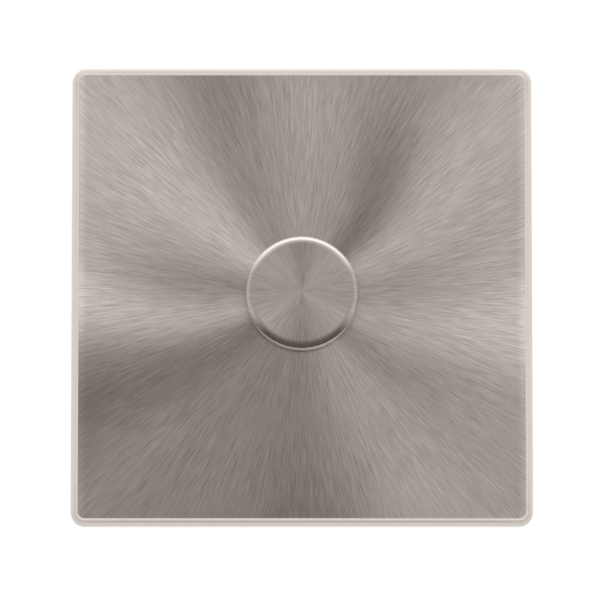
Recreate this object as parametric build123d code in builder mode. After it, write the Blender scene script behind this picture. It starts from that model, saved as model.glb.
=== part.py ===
from build123d import *
import os
from math import atan2, cos, degrees, radians, sin

os.makedirs("parts", exist_ok=True)

# Rotary dimmer switch on a square brushed plate, push to switch and turn to dim.
# Lengths are in millimetres. The origin is on the wall, behind the middle of the plate.
# +X is to the user's right, +Z is up and +Y goes into the wall box.
# A depth is counted from the wall: positive towards the user, negative into the box.

# Cover plate
plate_width = 90.0
plate_height = 90.0
plate_corner = 2.7
plate_edge = 1.45
plate_depth = 3.6
plate_sheet = 0.8
plate_rim_gap = 0.3
lug_length = 6.0
lug_proud = 0.5
lug_thickness = 0.7
lug_rise = 0.4
lug_spacing = 44.0
lug_notch_extra = 1.0

# Clip frame
frame_clearance = 0.25
frame_rim = 7.0
frame_skin = 1.6
frame_rib = 1.6
frame_rib_setback = 0.3
rib_deg = 45.0
frame_edge_relief = 1.2
catch_slot_width = 1.2
catch_slot_inset = 2.4
catch_slot_extra = 7.0
well_r = 10.2
well_wall = 2.0
well_floor = 1.5
pry_width = 9.0
pry_reach = 3.0

# Screws that hold the frame to the wall box
fixing_centres = 60.3
fixing_thread_r = 1.75
fixing_neck_r = 1.5
fixing_neck_end = -2.0
fixing_head_r = 3.3
fixing_head_deg = 90.0
fixing_head_sink = 0.2
fixing_length = 25.0
fixing_hole_clearance = 0.35
fixing_seat_clearance = 0.1
fixing_boss_wall = 2.2
cross_width = 0.8
cross_reach = 1.9
cross_depth = 1.3

# Nut and washer
washer_thickness = 0.5
washer_band = 2.4
washer_tab = 0.55
washer_teeth = 12
nut_thickness = 2.0
nut_across_flats = 14.0
nut_clearance = 0.08
nut_room = 0.5
nut_corner_deg = 25.0

# Bush and rotary control
bush_r = 5.0
bush_below_face = 0.2
bush_chamfer = 0.5
bush_hole_clearance = 0.3
flange_side = 20.0
flange_corner = 2.0
flange_thickness = 1.0
peg_r = 1.2
peg_offset = 7.6
peg_grip = 1.0
peg_clearance = 0.15
case_wall = 1.2
case_cavity_r = 8.4
case_depth = 6.8
disc_thickness = 0.8
disc_gap = 0.1
track_thickness = 0.12
track_r = 5.6
track_width = 1.6
track_opening_deg = 50.0
rotor_r = 6.7
rotor_thickness = 3.6
rotor_front_gap = 0.2
pin_pitch = 2.8
pin_gap = 0.6
lug_root = 1.0
lug_turn_gap = 0.2
lug_half_deg = 15.0
turn_range_deg = 270.0
stop_gap_deg = 1.5
wiper_sheet = 0.25
wiper_half_deg = 35.0
wiper_tips_deg = 40.0
wiper_tip_r = 0.45
wiper_gap = 0.1

# Spindle
spindle_r = 3.0
spindle_clearance = 0.06
spindle_front_gap = 0.3
spindle_flat = 1.5
shoulder_above_face = 0.4
tail_r = 2.5
tail_flat = 1.9
tail_clearance = 0.08
tail_end_clearance = 0.2
clip_thickness = 0.6
clip_r = 4.3
clip_groove_r = 1.95
clip_end_play = 0.2
clip_mouth_deg = 60.0

# Knob
knob_r = 10.95
knob_height = 5.2
knob_gap = 1.3
knob_edge = 1.06
knob_wall = 1.0
insert_clearance = 0.1
insert_setback = 0.4
insert_web = 1.2
insert_rim = 1.2
insert_hub_r = 5.0
insert_rib = 1.0
insert_ribs = 6
insert_first_rib_deg = 30.0
grip_sheet = 0.3
grip_play = 0.08
grip_width = 3.2

# Push switch
push_travel = 1.0
switch_side = 12.0
switch_corner = 1.0
switch_front_wall = 1.0
switch_cavity_r = 4.8
switch_cavity_depth = 3.4
switch_base_thickness = 1.4
plunger_gap = 0.1
stem_r = 1.9
stem_clearance = 0.2
plunger_flange_r = 4.4
plunger_flange = 1.0
plunger_front_play = 0.3
guide_r = 1.3
guide_length = 1.2
bridge_sheet = 0.3
bridge_inner_r = 3.2
contact_gap = 0.05
contact_r = 0.5
contact_strip = 0.3
contact_strip_width = 2.0
contact_leg_gap = 0.1
spring_pocket_depth = 0.8
spring_wire_r = 0.2
spring_r = 2.3
spring_turns = 3
spring_seat_gap = 0.03

# Circuit board
board_thickness = 1.6
board_clearance = 0.2
board_hole_r = 4.2
board_notch_corner = 0.5
pin_side = 0.8
lead_clearance = 0.15
lead_tail = 0.6

# Heat sink
sink_side_setback = 0.5
sink_end_setback = 1.8
sink_sheet = 1.5
sink_bend_r = 0.8
sink_flange_depth = 9.0
sink_corner = 2.0

# Module housing
module_height = 50.0
device_gap = 1.1
device_side_gap = 0.8
module_depth = 23.0
module_wall = 1.6
module_corner = 3.0
module_rear_edge = 1.2
sink_above_module = 0.3
boss_r = 2.7
boss_inset = 3.5
boss_pilot_r = 1.05
boss_pilot_depth = 10.0
support_rib = 1.2
support_reach = 1.8
support_pitch = 15.6
vent_width = 1.6
vent_length = 13.0
vent_pitch = 4.0
vent_count = 6
vent_centre_z = 11.0
side_vent_count = 4
side_vent_length = 9.0
screw_hole_clearance = 0.25
tap_r = 1.25
tap_length = 8.0
tap_head_r = 2.3
tap_head = 1.3
tap_fit = 0.02

# Terminals
terminal_count = 3
terminal_pitch = 8.0
wire_bore_r = 1.9
clamp_width = 6.0
clamp_height = 8.0
clamp_depth = 7.0
clamp_side_clearance = 0.15
clamp_floor = 1.5
clamp_inset = 0.8
clamp_front_wall = 0.7
clamp_screw_r = 1.4
clamp_screw_clearance = 0.1
clamp_head_r = 2.1
clamp_head = 1.8
clamp_head_clearance = 0.3
clamp_slot = 0.7
clamp_open_gap = 0.15
clamp_shank = 4.4
block_wall = 0.9
block_clearance = 0.2

# Power transistors
transistor_width = 10.0
transistor_body = 9.2
transistor_height = 15.6
transistor_tab = 1.3
transistor_thickness = 4.4
transistor_hole_down = 2.8
transistor_hole_r = 1.85
transistor_lead_pitch = 2.54
transistor_lead_drop = 2.4
transistor_fuse_gap = 0.6
transistor_draft_deg = 3.0
pad_sheet = 0.2
pad_margin = 0.5
transistor_screw_r = 1.45
transistor_screw_fit = 0.05
transistor_head_r = 2.7
transistor_head = 1.8

# Parts on the rear of the circuit board
toroid_side_gap = 0.8
toroid_top_gap = 3.1
toroid_outer_r = 7.0
toroid_inner_r = 3.9
toroid_height = 6.0
winding_wire = 0.6
winding_gap = 0.1
winding_turns = 20
winding_span_deg = 310.0
film_side_gap = 3.0
film_top_gap = 5.9
film_pin_inset = 1.2
film_width = 17.0
film_height = 7.0
film_depth = 10.6
film_edge = 0.6
reservoir_side_gap = 3.1
reservoir_film_gap = 1.9
reservoir_r = 4.0
reservoir_length = 11.2
reservoir_crimp = 0.35
varistor_side_gap = 2.9
varistor_z = -3.0
varistor_r = 4.4
varistor_thickness = 3.6
varistor_standoff = 1.0
fuse_side_gap = 2.2
fuse_reservoir_gap = 1.0
fuse_r = 4.1
fuse_length = 7.6
fuse_edge = 0.8
radial_lead_pitch = 5.0

# Parts on the front of the circuit board
trim_x = 0.0
trim_above_clamps = 4.2
trim_side = 6.6
trim_height = 5.6
trim_rotor_r = 1.7
trim_slot = 0.6
trim_access_r = 2.2
chip_x = 6.0
chip_top_gap = 0.8
chip_length = 8.7
chip_width = 3.9
chip_thickness = 1.5
chip_standoff = 0.15
chip_draft_deg = 4.0
chip_legs = 7
chip_leg_pitch = 1.27
chip_leg_width = 0.45
chip_leg_reach = 1.05

# Levels worked out from the sizes above, each a depth from the wall
plate_inner_width = plate_width - 2 * plate_sheet
plate_inner_height = plate_height - 2 * plate_sheet
frame_front = plate_depth - plate_sheet
frame_width = plate_inner_width - 2 * frame_clearance
frame_height = plate_inner_height - 2 * frame_clearance
skin_rear = frame_front - frame_skin
lug_rear = plate_rim_gap + lug_rise
lug_front = lug_rear + lug_thickness
nut_front = frame_front - nut_room
washer_front = nut_front - nut_thickness
floor_front = washer_front - washer_thickness
floor_rear = floor_front - well_floor
sink_rear = floor_rear - sink_sheet
flange_rear = sink_rear - flange_thickness
bush_front = plate_depth - bush_below_face
case_rear = flange_rear - case_depth
cavity_rear = case_rear + case_wall
disc_front = cavity_rear + disc_thickness
track_front = disc_front + track_thickness
board_front = case_rear
board_rear = board_front - board_thickness
rotor_front = flange_rear - rotor_front_gap
rotor_rear = rotor_front - rotor_thickness
clip_front = flange_rear - clip_end_play
clip_rear = clip_front - clip_thickness
rotor_recess = clip_rear - push_travel - clip_end_play
knob_rear = plate_depth + knob_gap
knob_front = knob_rear + knob_height
knob_inside = knob_front - knob_wall
insert_rear = knob_rear + insert_setback
spindle_front = knob_inside - spindle_front_gap
shoulder = plate_depth + shoulder_above_face
switch_front = board_rear
switch_cavity_front = switch_front - switch_front_wall
flange_plunger_front = switch_cavity_front - plunger_front_play
flange_plunger_rear = flange_plunger_front - plunger_flange
base_front = switch_cavity_front - switch_cavity_depth
base_rear = base_front - switch_base_thickness
bridge_rear = flange_plunger_rear - bridge_sheet
contact_front = bridge_rear - push_travel - contact_gap
spindle_rear = board_rear + push_travel + tail_end_clearance
plunger_front = spindle_rear - plunger_gap
module_front = sink_rear
module_rear = module_front - module_depth
module_floor = module_rear + module_wall
module_width = flange_side + 2 * (device_gap + transistor_width + device_side_gap + module_wall)
module_bottom = -module_height / 2
module_top = module_height / 2
boss_x = module_width / 2 - boss_inset
boss_z = module_height / 2 - boss_inset
board_width = module_width - 2 * module_wall - 2 * board_clearance
board_height = module_height - 2 * module_wall - 2 * board_clearance
winding_outer_r = toroid_outer_r + winding_gap + winding_wire
toroid_x = toroid_side_gap + winding_outer_r - board_width / 2
toroid_z = board_height / 2 - toroid_top_gap - winding_outer_r
film_x = board_width / 2 - film_side_gap - film_width / 2
film_z = board_height / 2 - film_top_gap - film_height / 2
reservoir_x = board_width / 2 - reservoir_side_gap - reservoir_r
reservoir_z = film_z - film_height / 2 - reservoir_film_gap - reservoir_r
fuse_x = board_width / 2 - fuse_side_gap - fuse_r
fuse_z = reservoir_z - reservoir_r - fuse_reservoir_gap - fuse_r
varistor_x = varistor_side_gap + varistor_r - board_width / 2
chip_z = board_height / 2 - chip_top_gap - chip_leg_reach - chip_width / 2
transistor_x = flange_side / 2 + device_gap + transistor_width / 2
transistor_z = fuse_z - fuse_r - transistor_fuse_gap + transistor_lead_drop
clamp_front = board_rear - clamp_floor
clamp_rear = clamp_front - clamp_depth
wire_depth = clamp_front - clamp_front_wall - wire_bore_r
clamp_bottom = module_bottom + clamp_inset
clamp_top = clamp_bottom + clamp_height
clamp_z = (clamp_bottom + clamp_top) / 2
trim_z = clamp_z + trim_above_clamps
block_width = (terminal_count - 1) * terminal_pitch + clamp_width + 2 * (clamp_side_clearance + block_wall)
block_top = clamp_top + clamp_side_clearance + block_wall
clamp_tip = wire_depth - wire_bore_r - clamp_open_gap
track_inner_r = track_r - track_width / 2
track_outer_r = track_r + track_width / 2
rest_deg = 90 + turn_range_deg / 2
pad_front = sink_rear
tab_front = pad_front - pad_sheet
tab_rear = tab_front - transistor_tab
transistor_rear = tab_front - transistor_thickness
transistor_top = transistor_z + transistor_height
transistor_hole_z = transistor_top - transistor_hole_down


def at(depth):
    """Sketch plane parallel to the wall at a depth, facing the user, with X right and Z up."""
    return Plane.XZ.offset(depth)


def across(x):
    """Sketch plane that faces +X, with local x along Y and local y along Z."""
    return Plane.YZ.offset(x)


def level(height):
    """Sketch plane that faces up at a height, with local x along X and local y along Y."""
    return Plane.XY.offset(height)


# Cover plate: a pressed pan with a rounded edge and lugs inside its rim
with BuildPart() as cover_plate:
    with BuildSketch(at(plate_rim_gap)):
        RectangleRounded(plate_width, plate_height, plate_corner)
    extrude(amount=plate_depth - plate_rim_gap)
    fillet(cover_plate.faces().sort_by(Axis.Y)[0].edges(), radius=plate_edge)
    offset(amount=-plate_sheet, openings=cover_plate.faces().sort_by(Axis.Y)[-1])
    with BuildSketch(at(frame_front - plate_sheet)):
        Circle(bush_r + bush_hole_clearance)
    extrude(amount=3 * plate_sheet, mode=Mode.SUBTRACT)
    with BuildSketch(at(lug_rear)):
        with GridLocations(plate_inner_width, lug_spacing, 2, 2):
            Rectangle(2 * lug_proud, lug_length)
        with GridLocations(lug_spacing, plate_inner_height, 2, 2):
            Rectangle(lug_length, 2 * lug_proud)
    extrude(amount=lug_thickness)
cover_plate.part.label = "cover_plate"
export_step(cover_plate.part, "parts/cover_plate.step")

# Clip frame: a shallow moulding with a flat wall rim, a well for the nut, ribs and snap catches
slot_length = lug_length + catch_slot_extra
slot_x = frame_width / 2 - catch_slot_inset - catch_slot_width / 2
slot_z = frame_height / 2 - catch_slot_inset - catch_slot_width / 2
notch_depth = lug_proud
with BuildPart() as clip_frame:
    with BuildSketch(at(0)):
        RectangleRounded(frame_width, frame_height, plate_corner - plate_sheet)
    extrude(amount=frame_front)
    chamfer(clip_frame.faces().sort_by(Axis.Y)[0].edges(), length=frame_edge_relief)
    with BuildSketch(at(0)):
        Rectangle(frame_width - 2 * frame_rim, frame_height - 2 * frame_rim)
    extrude(amount=skin_rear, mode=Mode.SUBTRACT)
    with BuildSketch(at(frame_rib_setback)):
        Rectangle(frame_width - 2 * frame_rim, frame_rib)
        Rectangle(frame_rib, frame_height - 2 * frame_rim)
        for angle in (rib_deg, -rib_deg):
            Rectangle(frame_width + frame_rim, frame_rib, rotation=angle)
        Rectangle(frame_width - 2 * frame_rim, frame_height - 2 * frame_rim, mode=Mode.INTERSECT)
        with GridLocations(fixing_centres, 0, 2, 1):
            Circle(fixing_head_r + fixing_boss_wall)
        with Locations((trim_x, trim_z)):
            Circle(trim_access_r + frame_rib)
    extrude(amount=skin_rear - frame_rib_setback)
    with BuildSketch(at(floor_rear)):
        Circle(well_r + well_wall)
    extrude(amount=skin_rear - floor_rear)
    with BuildSketch(at(floor_front)):
        Circle(well_r)
    extrude(amount=frame_front - floor_front, mode=Mode.SUBTRACT)
    with BuildSketch(at(floor_rear)):
        Circle(bush_r + bush_hole_clearance)
        with Locations((-peg_offset, 0)):
            Circle(peg_r + peg_clearance)
    extrude(amount=well_floor, mode=Mode.SUBTRACT)
    with BuildSketch(at(frame_rib_setback)):
        with Locations((trim_x, trim_z)):
            Circle(trim_access_r)
    extrude(amount=frame_front - frame_rib_setback, mode=Mode.SUBTRACT)
    with Locations(at(frame_front)):
        with GridLocations(fixing_centres, 0, 2, 1):
            CounterSinkHole(
                radius=fixing_thread_r + fixing_hole_clearance,
                counter_sink_radius=fixing_head_r + fixing_head_sink + fixing_seat_clearance,
                depth=frame_front - frame_rib_setback,
                counter_sink_angle=fixing_head_deg,
            )
    with BuildSketch(at(0)):
        with GridLocations(frame_width, lug_spacing, 2, 2):
            Rectangle(2 * notch_depth, lug_length + lug_notch_extra)
        with GridLocations(lug_spacing, frame_height, 2, 2):
            Rectangle(lug_length + lug_notch_extra, 2 * notch_depth)
    extrude(amount=lug_front + frame_clearance / 2, mode=Mode.SUBTRACT)
    with BuildSketch(at(0)):
        with GridLocations(2 * slot_x, lug_spacing, 2, 2):
            Rectangle(catch_slot_width, slot_length)
        with GridLocations(lug_spacing, 2 * slot_z, 2, 2):
            Rectangle(slot_length, catch_slot_width)
        with Locations((0, -frame_height / 2)):
            Rectangle(pry_width, 2 * pry_reach)
    extrude(amount=frame_front, mode=Mode.SUBTRACT)
clip_frame.part.label = "clip_frame"
export_step(clip_frame.part, "parts/clip_frame.step")

# Fixing screws: raised countersunk heads with a cross recess, a plain neck and a threaded shank
head_front = frame_front - fixing_head_sink
screw_end = head_front - fixing_length
neck_start = head_front - (fixing_head_r - fixing_neck_r)
with BuildPart() as one_screw:
    with BuildSketch(Plane.XY):
        with BuildLine():
            Polyline(
                (0, -head_front),
                (fixing_head_r, -head_front),
                (fixing_neck_r, -neck_start),
                (fixing_neck_r, -fixing_neck_end),
                (fixing_thread_r, -fixing_neck_end),
                (fixing_thread_r, -screw_end - fixing_neck_r / 2),
                (fixing_neck_r / 2, -screw_end),
                (0, -screw_end),
                close=True,
            )
        make_face()
    revolve(axis=Axis.Y)
    with BuildSketch(at(head_front)):
        Rectangle(2 * cross_reach, cross_width)
        Rectangle(cross_width, 2 * cross_reach)
    extrude(amount=-cross_depth, mode=Mode.SUBTRACT)
with BuildPart() as fixing_screws:
    with GridLocations(fixing_centres, 0, 2, 1):
        add(one_screw.part)
fixing_screws.part.label = "fixing_screws"
export_step(fixing_screws.part, "parts/fixing_screws.step")

# Lock washer with teeth round its hole
washer_hole_r = bush_r + nut_clearance
with BuildPart() as lock_washer:
    with BuildSketch(at(floor_front)):
        Circle(washer_hole_r + washer_band)
        Circle(washer_hole_r + washer_tab, mode=Mode.SUBTRACT)
        with PolarLocations(washer_hole_r + washer_tab, washer_teeth):
            Rectangle(2 * washer_tab, 2 * washer_tab)
        Circle(washer_hole_r, mode=Mode.SUBTRACT)
    extrude(amount=washer_thickness)
lock_washer.part.label = "lock_washer"
export_step(lock_washer.part, "parts/lock_washer.step")

# Thin hexagon nut with its front corners turned down
with BuildPart() as bush_nut:
    with BuildSketch(at(washer_front)):
        RegularPolygon(nut_across_flats / 2, 6, major_radius=False)
    extrude(amount=nut_thickness)
    with BuildSketch(at(washer_front)):
        Circle(nut_across_flats / 2 + nut_thickness / 2)
    extrude(amount=nut_thickness, taper=nut_corner_deg, mode=Mode.INTERSECT)
    with BuildSketch(at(washer_front)):
        Circle(bush_r + nut_clearance)
    extrude(amount=nut_thickness, mode=Mode.SUBTRACT)
bush_nut.part.label = "bush_nut"
export_step(bush_nut.part, "parts/bush_nut.step")

# Heat sink: a folded aluminium sheet with a flange over the top of the housing
sink_top = module_top + sink_above_module + sink_sheet
sink_bottom = module_bottom + sink_end_setback
sink_width = module_width - 2 * sink_side_setback
flange_end = floor_rear - sink_flange_depth
with BuildPart() as heat_sink:
    with BuildSketch(across(-sink_width / 2)) as fold:
        with BuildLine():
            Polyline(
                (-floor_rear, sink_bottom),
                (-floor_rear, sink_top),
                (-flange_end, sink_top),
                (-flange_end, sink_top - sink_sheet),
                (-sink_rear, sink_top - sink_sheet),
                (-sink_rear, sink_bottom),
                close=True,
            )
        make_face()
        bend = fold.vertices().sort_by_distance((-floor_rear, sink_top, 0))[0]
        fillet(bend, radius=sink_bend_r)
    extrude(amount=sink_width)
    corners = heat_sink.edges().filter_by(Axis.Y)
    fillet(corners.group_by(Axis.Z)[0], radius=sink_corner)
    with BuildSketch(at(sink_rear)):
        Circle(bush_r + bush_hole_clearance)
        with Locations((-peg_offset, 0)):
            Circle(peg_r + peg_clearance)
        with GridLocations(2 * boss_x, 2 * boss_z, 2, 2):
            Circle(tap_r + screw_hole_clearance)
        with Locations((-transistor_x, transistor_hole_z), (transistor_x, transistor_hole_z)):
            Circle(transistor_screw_r + transistor_screw_fit)
        with Locations((trim_x, trim_z)):
            Circle(trim_access_r)
    extrude(amount=sink_sheet, mode=Mode.SUBTRACT)
heat_sink.part.label = "heat_sink"
export_step(heat_sink.part, "parts/heat_sink.step")

# Bush of the rotary control, cast in one with its square flange and locating peg
with BuildPart() as pot_bush:
    with BuildSketch(at(flange_rear)):
        RectangleRounded(flange_side, flange_side, flange_corner)
    extrude(amount=flange_thickness)
    with BuildSketch(at(sink_rear)):
        Circle(bush_r)
    extrude(amount=bush_front - sink_rear)
    chamfer(pot_bush.faces().sort_by(Axis.Y)[0].edges(), length=bush_chamfer)
    with BuildSketch(at(sink_rear)):
        with Locations((-peg_offset, 0)):
            Circle(peg_r)
    extrude(amount=sink_sheet + peg_grip)
    with BuildSketch(at(flange_rear)):
        Circle(spindle_r + spindle_clearance)
    extrude(amount=bush_front - flange_rear, mode=Mode.SUBTRACT)
pot_bush.part.label = "pot_bush"
export_step(pot_bush.part, "parts/pot_bush.step")

# Case of the rotary control, with the stop that ends the turn
pin_z = -(switch_side / 2 + pin_side / 2 + pin_gap)
control_pins = [(i * pin_pitch, pin_z) for i in (-1, 0, 1)]
hole_side = pin_side + 2 * lead_clearance
stop_half_deg = (360 - turn_range_deg) / 2 - lug_half_deg - stop_gap_deg


def sector(inner, outer, middle_deg, half_deg):
    """Ring sector between two radii, counted anticlockwise from the user's right."""
    start = middle_deg - half_deg
    with BuildLine(mode=Mode.PRIVATE) as outline:
        CenterArc((0, 0), outer, start, 2 * half_deg)
        CenterArc((0, 0), inner, start, 2 * half_deg)
        for angle in (radians(start), radians(start + 2 * half_deg)):
            Line(
                (inner * cos(angle), inner * sin(angle)),
                (outer * cos(angle), outer * sin(angle)),
            )
    make_face(outline.edges())


with BuildPart() as pot_case:
    with BuildSketch(at(case_rear)):
        RectangleRounded(flange_side, flange_side, flange_corner)
    extrude(amount=case_depth)
    with BuildSketch(at(cavity_rear)):
        Circle(case_cavity_r)
    extrude(amount=case_depth - case_wall, mode=Mode.SUBTRACT)
    with BuildSketch(at(track_front)):
        sector(rotor_r + lug_turn_gap, case_cavity_r + case_wall / 2, 270, stop_half_deg)
    extrude(amount=flange_rear - track_front)
    with BuildSketch(at(case_rear)):
        Circle(spindle_r + 2 * tail_clearance)
        with Locations(*control_pins):
            Rectangle(hole_side, hole_side)
    extrude(amount=case_wall, mode=Mode.SUBTRACT)
pot_case.part.label = "pot_case"
export_step(pot_case.part, "parts/pot_case.step")

# Phenolic disc and the resistive ring printed on it
with BuildPart() as track_disc:
    with BuildSketch(at(cavity_rear)):
        Circle(case_cavity_r - disc_gap)
        Circle(spindle_r + 2 * tail_clearance, mode=Mode.SUBTRACT)
        with Locations(*control_pins):
            Rectangle(pin_side + lead_clearance, pin_side + lead_clearance, mode=Mode.SUBTRACT)
    extrude(amount=disc_thickness)
track_disc.part.label = "track_disc"
export_step(track_disc.part, "parts/track_disc.step")

with BuildPart() as carbon_track:
    with BuildSketch(at(disc_front)):
        sector(track_inner_r, track_outer_r, 90, 180 - track_opening_deg / 2)
    extrude(amount=track_thickness)
carbon_track.part.label = "carbon_track"
export_step(carbon_track.part, "parts/carbon_track.step")

# Pins from the disc to the circuit board
with BuildPart() as pot_terminals:
    with BuildSketch(at(board_rear - lead_tail)):
        with Locations(*control_pins):
            Rectangle(pin_side, pin_side)
    extrude(amount=disc_front - board_rear + lead_tail)
pot_terminals.part.label = "pot_terminals"
export_step(pot_terminals.part, "parts/pot_terminals.step")

# Rotor: carries the wiper, with a stop lug and a hole for the flats of the spindle's tail
with BuildPart() as rotor:
    with BuildSketch(at(rotor_rear)):
        Circle(rotor_r)
        sector(rotor_r - lug_root, case_cavity_r - lug_turn_gap, rest_deg, lug_half_deg)
    extrude(amount=rotor_thickness)
    with BuildSketch(at(rotor_recess)):
        Circle(clip_r + lug_turn_gap)
    extrude(amount=rotor_front - rotor_recess, mode=Mode.SUBTRACT)
    with BuildSketch(at(rotor_rear)):
        Circle(tail_r + tail_clearance)
        Rectangle(4 * tail_r, 2 * (tail_flat + tail_clearance), mode=Mode.INTERSECT)
    extrude(amount=rotor_recess - rotor_rear, mode=Mode.SUBTRACT)
rotor.part.label = "rotor"
export_step(rotor.part, "parts/rotor.step")

# Wiper: a sprung strip under the rotor with two contact tips on the track
with BuildPart() as wiper:
    with BuildSketch(at(rotor_rear - wiper_sheet)):
        sector(track_inner_r, track_outer_r - disc_gap, rest_deg, wiper_half_deg)
    extrude(amount=wiper_sheet)
    with BuildSketch(at(track_front + wiper_gap)):
        with PolarLocations(track_r, 2, rest_deg - wiper_tips_deg / 2, wiper_tips_deg, endpoint=True):
            Circle(wiper_tip_r)
    extrude(amount=rotor_rear - wiper_sheet - track_front - wiper_gap)
wiper.part.label = "wiper"
export_step(wiper.part, "parts/wiper.step")

# Spindle: flat for the knob, journal, clip groove and a tail with two flats
with BuildPart() as spindle:
    with BuildSketch(at(shoulder)):
        Circle(spindle_r)
        with Locations((0, spindle_flat + spindle_r)):
            Rectangle(2 * spindle_r, 2 * spindle_r, mode=Mode.SUBTRACT)
    extrude(amount=spindle_front - shoulder)
    chamfer(spindle.faces().sort_by(Axis.Y)[0].edges(), length=bush_chamfer / 2)
    with BuildSketch(at(clip_front)):
        Circle(spindle_r)
    extrude(amount=shoulder - clip_front)
    with BuildSketch(at(clip_rear)):
        Circle(clip_groove_r)
    extrude(amount=clip_thickness)
    with BuildSketch(at(spindle_rear)):
        Circle(tail_r)
        Rectangle(4 * tail_r, 2 * tail_flat, mode=Mode.INTERSECT)
    extrude(amount=clip_rear - spindle_rear)
spindle.part.label = "spindle"
export_step(spindle.part, "parts/spindle.step")

# Retaining clip, open at one side
with BuildPart() as spindle_clip:
    with BuildSketch(at(clip_rear + disc_gap / 2)):
        sector(clip_groove_r + disc_gap / 2, clip_r, 90, 180 - clip_mouth_deg / 2)
    extrude(amount=clip_thickness - disc_gap)
spindle_clip.part.label = "spindle_clip"
export_step(spindle_clip.part, "parts/spindle_clip.step")

# Knob shell: a turned cap with a rounded front edge
with BuildPart() as knob_shell:
    with BuildSketch(at(knob_rear)):
        Circle(knob_r)
    extrude(amount=knob_height)
    fillet(knob_shell.faces().sort_by(Axis.Y)[0].edges(), radius=knob_edge)
    with BuildSketch(at(knob_rear)):
        Circle(knob_r - knob_wall)
    extrude(amount=knob_height - knob_wall, mode=Mode.SUBTRACT)
    lip = knob_shell.faces().sort_by(Axis.Y)[-1].edges()
    chamfer(lip, length=knob_wall / 4)
knob_shell.part.label = "knob_shell"
export_step(knob_shell.part, "parts/knob_shell.step")

# Knob insert: rim, web, ribs and a hub with a D-shaped bore and room for the grip spring
insert_r = knob_r - knob_wall - insert_clearance
grip_z = spindle_flat + grip_play
with BuildPart() as knob_insert:
    with BuildSketch(at(insert_rear)):
        Circle(insert_r)
    extrude(amount=knob_inside - insert_rear)
    with BuildSketch(at(insert_rear)):
        Circle(insert_r - insert_rim)
        Circle(insert_hub_r, mode=Mode.SUBTRACT)
        with PolarLocations((insert_r + insert_hub_r) / 2, insert_ribs, insert_first_rib_deg):
            Rectangle(insert_r, insert_rib, mode=Mode.SUBTRACT)
    extrude(amount=knob_inside - insert_rear - insert_web, mode=Mode.SUBTRACT)
    with BuildSketch(at(insert_rear)):
        Circle(spindle_r + spindle_clearance)
        with Locations((0, grip_z + grip_sheet + grip_play + spindle_r)):
            Rectangle(2 * insert_r, 2 * spindle_r, mode=Mode.SUBTRACT)
    extrude(amount=knob_inside - insert_rear, mode=Mode.SUBTRACT)
knob_insert.part.label = "knob_insert"
export_step(knob_insert.part, "parts/knob_insert.step")

# Leaf spring between the hub and the spindle's flat
with BuildPart() as knob_spring:
    with BuildSketch(at(insert_rear + grip_sheet)):
        with Locations((0, grip_z + grip_sheet / 2)):
            Rectangle(grip_width, grip_sheet)
    extrude(amount=spindle_front - insert_rear - 2 * grip_sheet)
knob_spring.part.label = "knob_spring"
export_step(knob_spring.part, "parts/knob_spring.step")

# Body of the push switch, a cup that is closed by its base
strip_x = switch_side / 2 + contact_leg_gap + contact_strip
contact_x = (plunger_flange_r + bridge_inner_r) / 2
with BuildPart() as switch_body:
    with BuildSketch(at(base_front)):
        RectangleRounded(switch_side, switch_side, switch_corner)
    extrude(amount=switch_front - base_front)
    with BuildSketch(at(base_front)):
        Circle(switch_cavity_r)
    extrude(amount=switch_cavity_depth, mode=Mode.SUBTRACT)
    with BuildSketch(at(switch_cavity_front)):
        Circle(stem_r + stem_clearance)
    extrude(amount=switch_front_wall, mode=Mode.SUBTRACT)
switch_body.part.label = "switch_body"
export_step(switch_body.part, "parts/switch_body.step")

# Base of the push switch, with a pocket for the spring and grooves for the contact strips
with BuildPart() as switch_base:
    with BuildSketch(at(base_rear)):
        RectangleRounded(switch_side, switch_side, switch_corner)
    extrude(amount=switch_base_thickness)
    with BuildSketch(at(base_front)):
        Circle(spring_r + spring_wire_r + plunger_gap)
    extrude(amount=-spring_pocket_depth, mode=Mode.SUBTRACT)
    with BuildSketch(at(base_front)):
        with GridLocations(contact_x - contact_r + strip_x, 0, 2, 1):
            Rectangle(
                strip_x - contact_x + contact_r + 2 * contact_leg_gap,
                contact_strip_width + 2 * contact_leg_gap,
            )
    extrude(amount=-contact_strip, mode=Mode.SUBTRACT)
switch_base.part.label = "switch_base"
export_step(switch_base.part, "parts/switch_base.step")

# Plunger, pushed by the spindle's tail
with BuildPart() as switch_plunger:
    with BuildSketch(at(flange_plunger_front)):
        Circle(stem_r)
    extrude(amount=plunger_front - flange_plunger_front)
    with BuildSketch(at(flange_plunger_rear)):
        Circle(plunger_flange_r)
    extrude(amount=plunger_flange)
    with BuildSketch(at(flange_plunger_rear)):
        Circle(guide_r)
    extrude(amount=-guide_length)
switch_plunger.part.label = "switch_plunger"
export_step(switch_plunger.part, "parts/switch_plunger.step")

# Contact ring on the plunger
with BuildPart() as contact_bridge:
    with BuildSketch(at(bridge_rear)):
        Circle(plunger_flange_r)
        Circle(bridge_inner_r, mode=Mode.SUBTRACT)
    extrude(amount=bridge_sheet)
contact_bridge.part.label = "contact_bridge"
export_step(contact_bridge.part, "parts/contact_bridge.step")

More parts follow.
